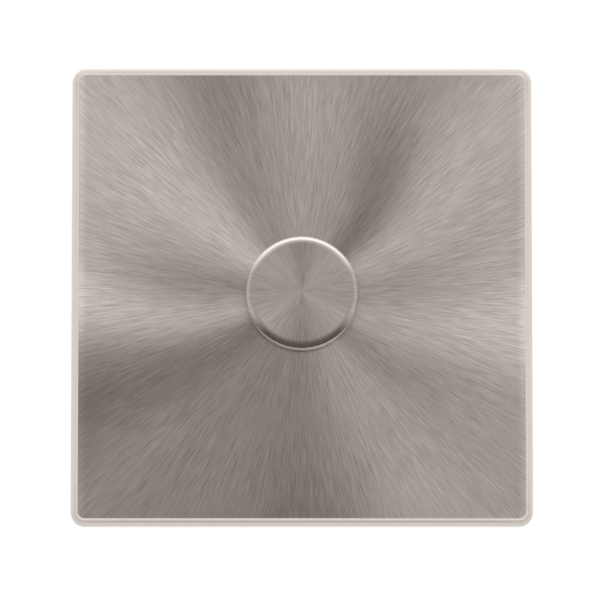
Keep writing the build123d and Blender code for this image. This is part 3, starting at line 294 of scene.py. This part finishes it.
def radial_metal(name, lit_edge_tone, rim, sectors, reach, seed, roughness, width, contrast, on_plate):
    """Brushed face with painted wedges of sheen and shade and a satin edge, with painted highlight and
    shade, that starts at the rim distance in mm.
    """
    material, tree, shader, place = new_material(name)
    x, y, z = tree.split(place)
    radius, angle, cosine, sine = polar(tree, x, z)
    upright = tree.math("ABSOLUTE", sine)
    distance = plate_distance(tree, x, z) if on_plate else radius
    edge = tree.smooth(distance, rim + EDGE_FADE[0], rim + EDGE_FADE[1])

    lines = brushing(tree, radius, cosine, sine, LINES_BEYOND * reach, seed, width)
    # Painted sheen and shade in soft wedges that stay fixed on the face
    wedges = sheen_sectors(tree, radius, angle, sectors, reach)
    broad = tree.noise(place, BLOTCH_SCALE, detail=3.0)
    # The brush lines and blotches are the metal's own tone; the wedges and the side strip are painted light
    # and shade
    shade = tree.times(
        tree.math("MULTIPLY_ADD", lines, contrast, 1.0),
        tree.math("ADD", wedges, 1.0),
        tree.math("MULTIPLY_ADD", broad, BLOTCHES, 1.0 - BLOTCHES / 2),
    )
    if on_plate:
        # Painted highlight: the face grows brighter towards its left and right edges
        across = tree.math("DIVIDE", tree.math("ABSOLUTE", x), MM)
        shade = tree.times(shade, tree.smooth(across, rim - SIDE_HIGHLIGHT_WIDTH, rim, 1.0, SIDE_HIGHLIGHT_GAIN))
    lit = tree.smooth(shade, *SHADE_SPAN)
    face_tone = tree.mix(lit, warmer(PEARL, WARM_IN_SHADE), warmer(PEARL, WARM_IN_LIGHT))
    face = tree.shaded(face_tone, shade)
    # Painted highlight and shade on the rounded edge: in bands on the plate, and brighter above and below on
    # the knob
    if on_plate:
        edge_light_level = painted_rim_light(tree, distance, upright, rim)
    else:
        edge_light_level = tree.smooth(upright, *KNOB_EDGE_LIGHT_SPAN, *KNOB_EDGE_LIGHT_LEVELS)
    colour = tree.mix(edge, face, tree.shaded(tint(lit_edge_tone), edge_light_level))
    if not on_plate:
        # Painted highlight on the upper rounding of the knob's front edge
        colour = tree.mix(painted_crescent(tree, y, radius, sine), colour, tint(KNOB_EDGE_HIGHLIGHT))
        # Painted shade on the lower rounding of the knob's front edge
        downward = tree.times(sine, -1.0)
        colour = tree.mix(painted_crescent(tree, y, radius, downward), colour, tint(KNOB_LOWER_SHADE))

    tree.put(shader.inputs["Base Color"], colour)
    face_rough = tree.math("MULTIPLY_ADD", lines, BRUSH_ROUGHNESS, roughness)
    tree.put(shader.inputs["Roughness"], tree.math("ADD", face_rough, tree.times(edge, EDGE_ROUGHNESS)))
    metallic = 1.0 if on_plate else tree.math("MULTIPLY_ADD", edge, KNOB_EDGE_METAL, 1.0)
    tree.put(shader.inputs["Metallic"], metallic)
    shader.inputs["Anisotropic"].default_value = ANISOTROPY
    tangent = tree.add("ShaderNodeTangent", direction_type="RADIAL", axis="Y").outputs[0]
    tree.put(shader.inputs["Tangent"], tangent)
    height = tree.times(lines, tree.math("SUBTRACT", 1.0, edge))
    tree.put(shader.inputs["Normal"], tree.bump(height, BRUSH_DEPTH * MM, BRUSH_STRENGTH))
    return material


# Plain metal: noise scales per metre, share of the drawn marks, spread of tone and depth of the grain in mm
METAL_BROAD = 108.0
METAL_GRAIN = 900.0
METAL_DRAWN = 1980.0
DRAWN_STRETCH = (1.0, 0.06, 1.0)
DRAWN_SHARE = 0.3
METAL_DULL = 0.84
METAL_BRIGHT = 1.12
METAL_RELIEF = 0.01


def metal(name, tone, roughness, grain=0.25, scratch=0.0):
    """Plated, cast or drawn metal with fine grain and a little variation of tone."""
    material, tree, shader, place = new_material(name)
    broad = tree.noise(place, METAL_BROAD, detail=4.0)
    fine = tree.noise(place, METAL_GRAIN, detail=3.0)
    stretched = tree.add("ShaderNodeMapping", {"Vector": place, "Scale": DRAWN_STRETCH}).outputs[0]
    drawn = tree.noise(stretched, METAL_DRAWN, detail=2.0)
    worn = tree.math("ADD", tree.times(broad, 1.0 - DRAWN_SHARE), tree.times(drawn, DRAWN_SHARE))
    tree.put(shader.inputs["Base Color"], tree.mix(worn, tint(tone, METAL_DULL), tint(tone, METAL_BRIGHT)))
    tree.put(shader.inputs["Roughness"], tree.math("MULTIPLY_ADD", fine, grain, roughness - grain / 2))
    shader.inputs["Metallic"].default_value = 1.0
    height = tree.math("ADD", fine, tree.times(drawn, scratch))
    tree.put(shader.inputs["Normal"], tree.bump(height, METAL_RELIEF * MM, 0.5))
    return material


# Plastic: scale of the flow marks per metre and how much the pores change the roughness
PLASTIC_FLOW = 90.0
PORE_ROUGHNESS = 0.18


def plastic(name, tone, roughness, grain=0.02, scale=1400.0, spread=0.12):
    """Moulded plastic with a spark-eroded grain, its depth in mm, and faint flow marks."""
    material, tree, shader, place = new_material(name)
    flow = tree.noise(place, PLASTIC_FLOW, detail=4.0, roughness=0.6)
    pores = tree.noise(place, scale, detail=2.0)
    tree.put(shader.inputs["Base Color"], tree.mix(flow, tint(tone, 1.0 - spread), tint(tone, 1.0 + spread)))
    rough = tree.math("MULTIPLY_ADD", pores, PORE_ROUGHNESS, roughness - PORE_ROUGHNESS / 2)
    tree.put(shader.inputs["Roughness"], rough)
    tree.put(shader.inputs["Normal"], tree.bump(pores, grain * MM, 0.6))
    return material


# Circuit board: tones, threads and lands per metre, gap between the lands, their height in mm and the
# weave's share of tone
RESIST = (0.02, 0.12, 0.045, 1.0)
RESIST_ON_COPPER = (0.05, 0.24, 0.09, 1.0)
WEAVE_TONE = (0.03, 0.1, 0.04, 1.0)
WEAVE_SCALE = 700.0
LAND_SCALE = 210.0
LAND_GAP = (0.1, 0.13)
COPPER_HEIGHT = 0.03
WEAVE_SHARE = 0.25


def laminate(name):
    """Circuit board: solder resist over a weave that shows faintly, with copper lands below it."""
    material, tree, shader, place = new_material(name)
    wave = {"Vector": place, "Scale": WEAVE_SCALE, "Distortion": 0.4}
    weave = tree.add("ShaderNodeTexWave", wave).outputs["Fac"]
    level = tree.add("ShaderNodeMapping", {"Vector": place, "Scale": (1.0, 0.0, 1.0)}).outputs[0]
    cells = {"Vector": level, "Scale": LAND_SCALE}
    near, next_near = (
        tree.add("ShaderNodeTexVoronoi", cells, distance="CHEBYCHEV", feature=feature).outputs["Distance"]
        for feature in ("F1", "F2")
    )
    copper = tree.smooth(tree.math("SUBTRACT", next_near, near), *LAND_GAP)
    resist = tree.mix(copper, RESIST, RESIST_ON_COPPER)
    tree.put(shader.inputs["Base Color"], tree.mix(tree.times(weave, WEAVE_SHARE), resist, WEAVE_TONE))
    tree.put(shader.inputs["Roughness"], tree.math("MULTIPLY_ADD", weave, 0.1, 0.3))
    tree.put(shader.inputs["Normal"], tree.bump(copper, COPPER_HEIGHT * MM, 0.5))
    return material


# The can's open end, in mm: sleeve's rim, depth of the bare top, half width and reach of the scores
CAN_RIM = 0.7
CAN_TOP_DEPTH = 0.1
RIM_FADE = 0.05
SCORE_HALF = (0.06, 0.12)
SCORE_REACH = (2.0, 2.1)
SCORE_TONE = 0.3
CAN_TONE = 0.75


def can_sleeve(name, tone, node):
    """Shrunk sleeve of a can along Y whose open end shows the metal with its scored cross."""
    material = plastic(name, tone, 0.3)
    tree = Tree(material)
    shader = tree.nodes["Principled BSDF"]
    can_low, can_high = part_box(node)
    middle = (can_low + can_high) / 2
    place_x, y, place_z = tree.split(tree.add("ShaderNodeTexCoord").outputs["Object"])
    x = tree.math("SUBTRACT", place_x, middle.x)
    z = tree.math("SUBTRACT", place_z, middle.z)
    radius = tree.length(x, z)
    opening = can_high.x - middle.x - CAN_RIM * MM
    inside = tree.smooth(radius, opening - RIM_FADE * MM, opening + RIM_FADE * MM, 1.0, 0.0)
    at_end = tree.smooth(y, can_high.y - CAN_TOP_DEPTH * MM, can_high.y - CAN_TOP_DEPTH / 2 * MM)
    bare = tree.times(inside, at_end)
    nearer = tree.math("MINIMUM", tree.math("ABSOLUTE", x), tree.math("ABSOLUTE", z))
    beside = tree.smooth(nearer, SCORE_HALF[0] * MM, SCORE_HALF[1] * MM)
    beyond = tree.smooth(radius, SCORE_REACH[0] * MM, SCORE_REACH[1] * MM)
    metal_tone = tree.mix(tree.math("MAXIMUM", beside, beyond), grey(SCORE_TONE), grey(CAN_TONE))
    sleeve_tone = shader.inputs["Base Color"].links[0].from_socket
    tree.put(shader.inputs["Base Color"], tree.mix(bare, sleeve_tone, metal_tone))
    tree.put(shader.inputs["Metallic"], bare)
    return material


# Wedges of light and shade on the plate and the knob: middle, drift, half width, gain inside and outside
PLATE_WEDGES = (
    (27.0, 16.0, 22.0, 0.28, 0.34),
    (8.0, 0.0, 44.0, -0.04, 0.35),
    (49.0, 21.0, 21.0, -0.40, -0.18),
    (80.0, -6.0, 20.0, 0.02, 0.18),
    (90.0, 0.0, 18.0, 0.12, 0.18),
    (117.0, -6.0, 16.0, -0.08, -0.20),
    (142.0, -6.0, 22.0, 0.52, 0.46),
    (158.0, 0.0, 24.0, 0.06, 0.38),
    (171.0, -3.0, 12.0, -0.22, 0.06),
    (194.0, -15.0, 16.0, 0.26, 0.66),
    (214.0, -8.0, 22.0, -0.36, -0.48),
    (235.0, 0.0, 26.0, -0.24, -0.26),
    (264.0, 4.0, 32.0, -0.26, -0.42),
    (302.0, 0.0, 22.0, 0.10, 0.18),
    (318.0, 8.0, 16.0, -0.20, 0.06),
    (344.0, 8.0, 20.0, 0.22, 0.48),
)
KNOB_WEDGES = (
    (45.0, 0.0, 34.0, 0.08, 0.14),
    (135.0, 0.0, 34.0, 0.08, 0.14),
    (218.0, 0.0, 26.0, 0.10, 0.20),
    (322.0, 0.0, 26.0, 0.10, 0.20),
    (90.0, 0.0, 26.0, -0.12, -0.18),
    (270.0, 0.0, 32.0, -0.14, -0.24),
)

plate_metal = radial_metal(
    "plate_metal", EDGE_HIGHLIGHT_TONE, rim=PLATE_HALF - PLATE_EDGE, sectors=PLATE_WEDGES, reach=50.0, seed=3.0,
    roughness=0.36, width=0.165, contrast=0.66, on_plate=True,
)
knob_metal = radial_metal(
    "knob_metal", KNOB_EDGE_HIGHLIGHT, rim=KNOB_R - 0.3 * KNOB_EDGE, sectors=KNOB_WEDGES, reach=10.0, seed=41.0,
    roughness=0.34, width=0.13, contrast=0.55, on_plate=False,
)
zinc = metal("zinc_plate", (0.62, 0.61, 0.58), 0.34, scratch=0.4)
nickel = metal("nickel_plate", (0.66, 0.63, 0.58), 0.24)
cast = metal("cast_zinc", (0.55, 0.55, 0.56), 0.5, grain=0.3)
aluminium = metal("sheet_aluminium", (0.72, 0.73, 0.74), 0.38, scratch=0.8)
turned = metal("turned_aluminium", (0.68, 0.68, 0.69), 0.3, scratch=1.0)
tin = metal("tinned_wire", (0.70, 0.70, 0.69), 0.32)
bronze = metal("phosphor_bronze", (0.66, 0.44, 0.22), 0.3)
brass = metal("extruded_brass", (0.74, 0.55, 0.24), 0.32, scratch=0.8)
spring = metal("spring_steel", (0.60, 0.60, 0.61), 0.26)
black = plastic("black_moulding", (0.035, 0.035, 0.038), 0.5)
frame_plastic = plastic("frame_moulding", (0.055, 0.056, 0.06), 0.55)
housing_plastic = plastic("housing_moulding", (0.045, 0.046, 0.05), 0.5)
acetal = plastic("acetal", (0.80, 0.79, 0.74), 0.4, spread=0.04)
nylon = plastic("knob_nylon", (0.05, 0.05, 0.05), 0.45)
phenolic = plastic("phenolic_sheet", (0.34, 0.17, 0.07), 0.5, spread=0.2)
carbon = plastic("carbon_ink", (0.02, 0.02, 0.02), 0.6)
epoxy = plastic("device_epoxy", (0.03, 0.03, 0.033), 0.45)
silicone = plastic("silicone_pad", (0.40, 0.41, 0.43), 0.7)
ferrite = plastic("ferrite_coat", (0.06, 0.06, 0.065), 0.6, grain=0.04)
enamel = metal("enamelled_copper", (0.62, 0.27, 0.11), 0.28)
film_box = plastic("film_box", (0.52, 0.40, 0.10), 0.35)
sleeve = can_sleeve("can_sleeve", (0.03, 0.035, 0.07), "reservoir_capacitor")
dipped = plastic("varistor_coat", (0.03, 0.09, 0.30), 0.35, grain=0.05, scale=500.0)
fuse_case = plastic("fuse_case", (0.16, 0.06, 0.025), 0.35)
trimmer = plastic("trimmer_case", (0.03, 0.09, 0.36), 0.35)
ivory = plastic("terminal_moulding", (0.62, 0.62, 0.59), 0.5, spread=0.05)
board = laminate("board_laminate")

finishes = {
    "cover_plate": plate_metal, "knob_shell": knob_metal, "clip_frame": frame_plastic,
    "fixing_screws": zinc, "housing_screws": zinc, "transistor_screws": zinc, "terminal_screws": zinc,
    "bush_nut": nickel, "lock_washer": nickel, "pot_bush": cast, "heat_sink": aluminium,
    "pot_case": black, "switch_body": black, "switch_base": black, "controller_chip": epoxy,
    "track_disc": phenolic, "carbon_track": carbon, "pot_terminals": tin, "switch_contacts": tin,
    "spindle_clip": spring, "rotor": acetal, "switch_plunger": acetal, "wiper": bronze,
    "contact_bridge": bronze, "spindle": turned, "knob_insert": nylon, "knob_spring": spring,
    "return_spring": spring, "circuit_board": board, "transistor_left": epoxy, "transistor_right": epoxy,
    "insulating_pads": silicone, "toroid_core": ferrite, "toroid_winding": enamel,
    "film_capacitor": film_box, "reservoir_capacitor": sleeve, "varistor": dipped, "fuse": fuse_case,
    "trim_pot": trimmer, "terminal_block": ivory, "terminal_clamps": brass,
    "module_housing": housing_plastic,
}
for name, node in nodes.items():
    node.data.materials.clear()
    node.data.materials.append(finishes[name])

# Rounded edges of the mouldings and the sheet, width in mm
ROUNDED_FROM = radians(40)
rounded_edges = {
    "module_housing": 0.3, "clip_frame": 0.2, "terminal_block": 0.25, "heat_sink": 0.15,
    "film_capacitor": 0.4, "controller_chip": 0.08, "transistor_left": 0.12, "transistor_right": 0.12,
    "bush_nut": 0.12, "pot_case": 0.15, "switch_body": 0.15, "switch_base": 0.1, "trim_pot": 0.15,
    "terminal_clamps": 0.12,
}
for name, width in rounded_edges.items():
    rounding = nodes[name].modifiers.new("edge_round", "BEVEL")
    rounding.width = width * MM
    rounding.segments = 2
    rounding.limit_method = "ANGLE"
    rounding.angle_limit = ROUNDED_FROM
    rounding.harden_normals = True


def ring(x, y, z, radii):
    """Points in mm round an axis along Y, one for each radius."""
    turns = [2 * pi * k / len(radii) for k in range(len(radii))]
    return [(x + radius * cos(turn), y, z + radius * sin(turn)) for turn, radius in zip(turns, radii)]


def closed_tube(shape, rings):
    """Smooth skin over rings of points in mm, closed at both ends."""
    loops = [[shape.verts.new(Vector(point) * MM) for point in points] for points in rings]
    for first, second in zip(loops, loops[1:]):
        for k in range(len(first)):
            after = (k + 1) % len(first)
            shape.faces.new((first[k], first[after], second[after], second[k])).smooth = True
    shape.faces.new(loops[0])
    shape.faces.new(list(reversed(loops[-1])))


def fine_piece(name, shape, material, slot_name, *replaced):
    """Object on the root body from a finished shape, shown instead of the replaced nodes."""
    bmesh.ops.recalc_face_normals(shape, faces=shape.faces)
    mesh = bpy.data.meshes.new(name)
    shape.to_mesh(mesh)
    shape.free()
    mesh.materials.append(material)
    piece = bpy.data.objects.new(name, mesh)
    bpy.context.scene.collection.objects.link(piece)
    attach(piece, "root")
    if replaced:
        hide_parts(*replaced)
    return piece


# Real necks and threads on the fixing screws, whose heads stay as they are, lengths in mm
THREAD_SIDES = 24
RINGS_PER_PITCH = 6
THREAD_START = 1.8
THREAD_ROOT_R = 1.42
THREAD_DEPTH = 0.32
THREAD_PITCH = 0.6
POINT_TAPER = 0.45
CREST = 1.25
HEAD_R = 3.3
NECK_R = 1.5
NECK_END = 2.0
NECK_INSET = 0.05
NECK_IN_HEAD = 0.2
NECK_GAP = 0.1
WELD = 0.001


def threaded_rings(x, start, end):
    """Rings along +Y at one x with a helical thread that fades out at both ends and a tapered point."""
    count = round((end - start) / THREAD_PITCH * RINGS_PER_PITCH)
    rings = []
    for i in range(count + 1):
        y = start + (end - start) * i / count
        fade = max(0.0, min(1.0, (y - start) / THREAD_PITCH, (end - y) / THREAD_PITCH))
        point_in = POINT_TAPER * max(0.0, 1.0 - (end - y) / (2 * POINT_TAPER))
        radii = []
        for k in range(THREAD_SIDES):
            phase = (y / THREAD_PITCH - k / THREAD_SIDES) % 1.0
            ridge = min(1.0, CREST * (1.0 - abs(2.0 * phase - 1.0)))
            radii.append(THREAD_ROOT_R + THREAD_DEPTH * ridge * fade - point_in)
        rings.append(ring(x, y, 0.0, radii))
    return rings


screw_low, screw_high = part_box("fixing_screws")
screw_x = screw_high.x / MM - HEAD_R
neck_start = screw_low.y / MM + HEAD_R - NECK_R
screws = bmesh.new()
screws.from_mesh(nodes["fixing_screws"].data)
bmesh.ops.remove_doubles(screws, verts=screws.verts, dist=WELD * MM)
shank = [vert for vert in screws.verts if vert.co.y > (NECK_END - 10 * WELD) * MM]
bmesh.ops.delete(screws, geom=shank, context="VERTS")
bmesh.ops.holes_fill(screws, edges=[edge for edge in screws.edges if edge.is_boundary])
neck_radii = [NECK_R - NECK_INSET] * THREAD_SIDES
for x in (-screw_x, screw_x):
    neck = [ring(x, y, 0.0, neck_radii) for y in (neck_start - NECK_IN_HEAD, THREAD_START - NECK_GAP)]
    closed_tube(screws, neck + threaded_rings(x, THREAD_START, screw_high.y / MM))
fine_piece("threaded_screws", screws, zinc, "zinc_screw", "fixing_screws")


# The return spring with round wire, whose radius is in mm, and flat ends
COIL_TURNS = 3.0
FLAT_TURNS = 0.5
COIL_STEPS = 128
WIRE_SIDES = 10
WIRE_R = 0.2


def wire_rings(low, high, radius):
    """Rings round the wire of a coil along +Y whose first and last half turn lie flat, lengths in mm."""
    angles = [2 * pi * k / WIRE_SIDES for k in range(WIRE_SIDES)]
    rings = []
    for i in range(COIL_STEPS + 1):
        turns = (COIL_TURNS + 2 * FLAT_TURNS) * i / COIL_STEPS
        rise = max(0.0, min(1.0, (turns - FLAT_TURNS) / COIL_TURNS))
        y = low + WIRE_R + (high - low - 2 * WIRE_R) * rise
        outward = Vector((cos(2 * pi * turns), 0.0, sin(2 * pi * turns)))
        centre = outward * radius + Vector((0.0, y, 0.0))
        rings.append([
            centre + outward * (WIRE_R * cos(angle)) + Vector((0.0, WIRE_R * sin(angle), 0.0))
            for angle in angles
        ])
    return rings


spring_low, spring_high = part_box("return_spring")
coil = bmesh.new()
closed_tube(coil, wire_rings(spring_low.y / MM, spring_high.y / MM, spring_high.x / MM - WIRE_R))
wound_spring = fine_piece("wound_spring", coil, spring, "spring_steel", "return_spring")
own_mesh(wound_spring)


# Solder round each lead that comes through the board, its profile as radius and height, lengths in mm
board_low, board_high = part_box("circuit_board")
SOLDER_PROFILE = ((0.85, 0.0), (0.62, 0.09), (0.45, 0.24), (0.36, 0.42), (0.3, 0.5))
SOLDER_SIDES = 16
LEAD_REACH = 0.9
LEAD_SHOWS = (0.3, 1.5)
LEADS_IN_FRONT = ("film_capacitor", "reservoir_capacitor", "varistor", "fuse")
LEADS_BEHIND = ("pot_terminals", "transistor_left", "transistor_right")


def lead_ends(name, face, outward):
    """Middles, in mm, of the leads of a node where they end just beyond a face of the board."""
    groups = []
    for vert in nodes[name].data.vertices:
        beyond = (vert.co.y / MM - face) * outward
        if not LEAD_SHOWS[0] < beyond < LEAD_SHOWS[1]:
            continue
        tip = Vector((vert.co.x, vert.co.z)) / MM
        near = next((group for group in groups if (group[0] - tip).length < LEAD_REACH), None)
        if near:
            near.append(tip)
        else:
            groups.append([tip])
    return [sum(group, Vector((0.0, 0.0))) / len(group) for group in groups]


solder = bmesh.new()
for names, face, outward in ((LEADS_IN_FRONT, board_low.y / MM, -1), (LEADS_BEHIND, board_high.y / MM, 1)):
    for name in names:
        for middle in lead_ends(name, face, outward):
            closed_tube(solder, [
                ring(middle.x, face + outward * height, middle.y, [radius] * SOLDER_SIDES)
                for radius, height in SOLDER_PROFILE
            ])
fine_piece("solder_joints", solder, tin, "tinned_lead")


# Studio: white behind the object, light from above and in front, a floor well below, lengths in metres
FRONT_SPAN = (-0.97, -0.55)
FRONT_LEVEL = 0.58
SIDE_LEVEL = 0.92
OVERHEAD_SPAN = (0.2, 0.8)
OVERHEAD_GAIN = 1.12
FLOOR_LEVEL = -1.4
FLOOR_HALF = 8.0
FLOOR_TONE = 0.86
FLOOR_ROUGHNESS = 0.9
SOFTBOX_PLACE = (0.0, -0.35, 0.75)
SOFTBOX_SIZE = (0.9, 0.5)
SOFTBOX_POWER = 0.3


def studio_world():
    """Even light that is weaker from straight in front and stronger from above, and white to the camera."""
    world = bpy.data.worlds.new("studio")
    bpy.context.scene.world = world
    tree = Tree(world)
    _, away, up = tree.split(tree.add("ShaderNodeTexCoord").outputs["Generated"])
    aside = tree.smooth(away, *FRONT_SPAN, FRONT_LEVEL, SIDE_LEVEL)
    overhead = tree.smooth(up, *OVERHEAD_SPAN, 1.0, OVERHEAD_GAIN)
    soft = tree.grey(tree.times(aside, overhead))
    seen = tree.add("ShaderNodeLightPath").outputs["Is Camera Ray"]
    tree.put(tree.nodes["Background"].inputs["Color"], tree.mix(seen, soft, grey(1.0)))


def softbox(name, place, size, power):
    """Rectangular light that points at the origin."""
    data = bpy.data.lights.new(name, "AREA")
    data.energy = power
    data.shape = "RECTANGLE"
    data.size, data.size_y = size
    lamp = bpy.data.objects.new(name, data)
    lamp.location = place
    lamp.rotation_euler = (-Vector(place)).to_track_quat("-Z", "Y").to_euler()
    bpy.context.scene.collection.objects.link(lamp)


def studio_floor():
    mesh = bpy.data.meshes.new("floor")
    corners = [
        (x * FLOOR_HALF, y * FLOOR_HALF, FLOOR_LEVEL) for x, y in ((-1, -1), (1, -1), (1, 1), (-1, 1))
    ]
    mesh.from_pydata(corners, [], [(0, 1, 2, 3)])
    floor = bpy.data.objects.new("floor", mesh)
    bpy.context.scene.collection.objects.link(floor)
    material, _, shader, _ = new_material("pale_floor")
    shader.inputs["Base Color"].default_value = grey(FLOOR_TONE)
    shader.inputs["Roughness"].default_value = FLOOR_ROUGHNESS
    mesh.materials.append(material)


studio_world()
studio_floor()
softbox("top_softbox", SOFTBOX_PLACE, SOFTBOX_SIZE, SOFTBOX_POWER)

# Camera: long lens from a little below, as in the photograph, which puts the plate's middle at this pixel
PHOTO_SIDE = 600.0
METRES_PER_PIXEL = 90.0 / 460.5 * MM
PITCH = radians(7.5)
DISTANCE = 1.3
FARTHEST = 20.0
PLATE_PIXEL = (301.85, 296.9)

camera_data = bpy.data.cameras.new("camera")
camera = bpy.data.objects.new("camera", camera_data)
bpy.context.scene.collection.objects.link(camera)
bpy.context.scene.camera = camera
back = Vector((0.0, -cos(PITCH), -sin(PITCH)))
turn = (-back).to_track_quat("-Z", "Y")
right, upward = turn @ Vector((1, 0, 0)), turn @ Vector((0, 1, 0))
middle = Vector((0.0, (plate_low.y + plate_high.y) / 2, 0.0))
shift_right = (PLATE_PIXEL[0] - PHOTO_SIDE / 2) * METRES_PER_PIXEL
shift_up = (PHOTO_SIDE / 2 - PLATE_PIXEL[1]) * METRES_PER_PIXEL
camera.location = middle - right * shift_right - upward * shift_up + back * DISTANCE
camera.rotation_mode = "QUATERNION"
camera.rotation_quaternion = turn
camera_data.lens = camera_data.sensor_width / (PHOTO_SIDE * METRES_PER_PIXEL) * DISTANCE
camera_data.clip_end = FARTHEST

bpy.context.scene.view_settings.view_transform = "Standard"
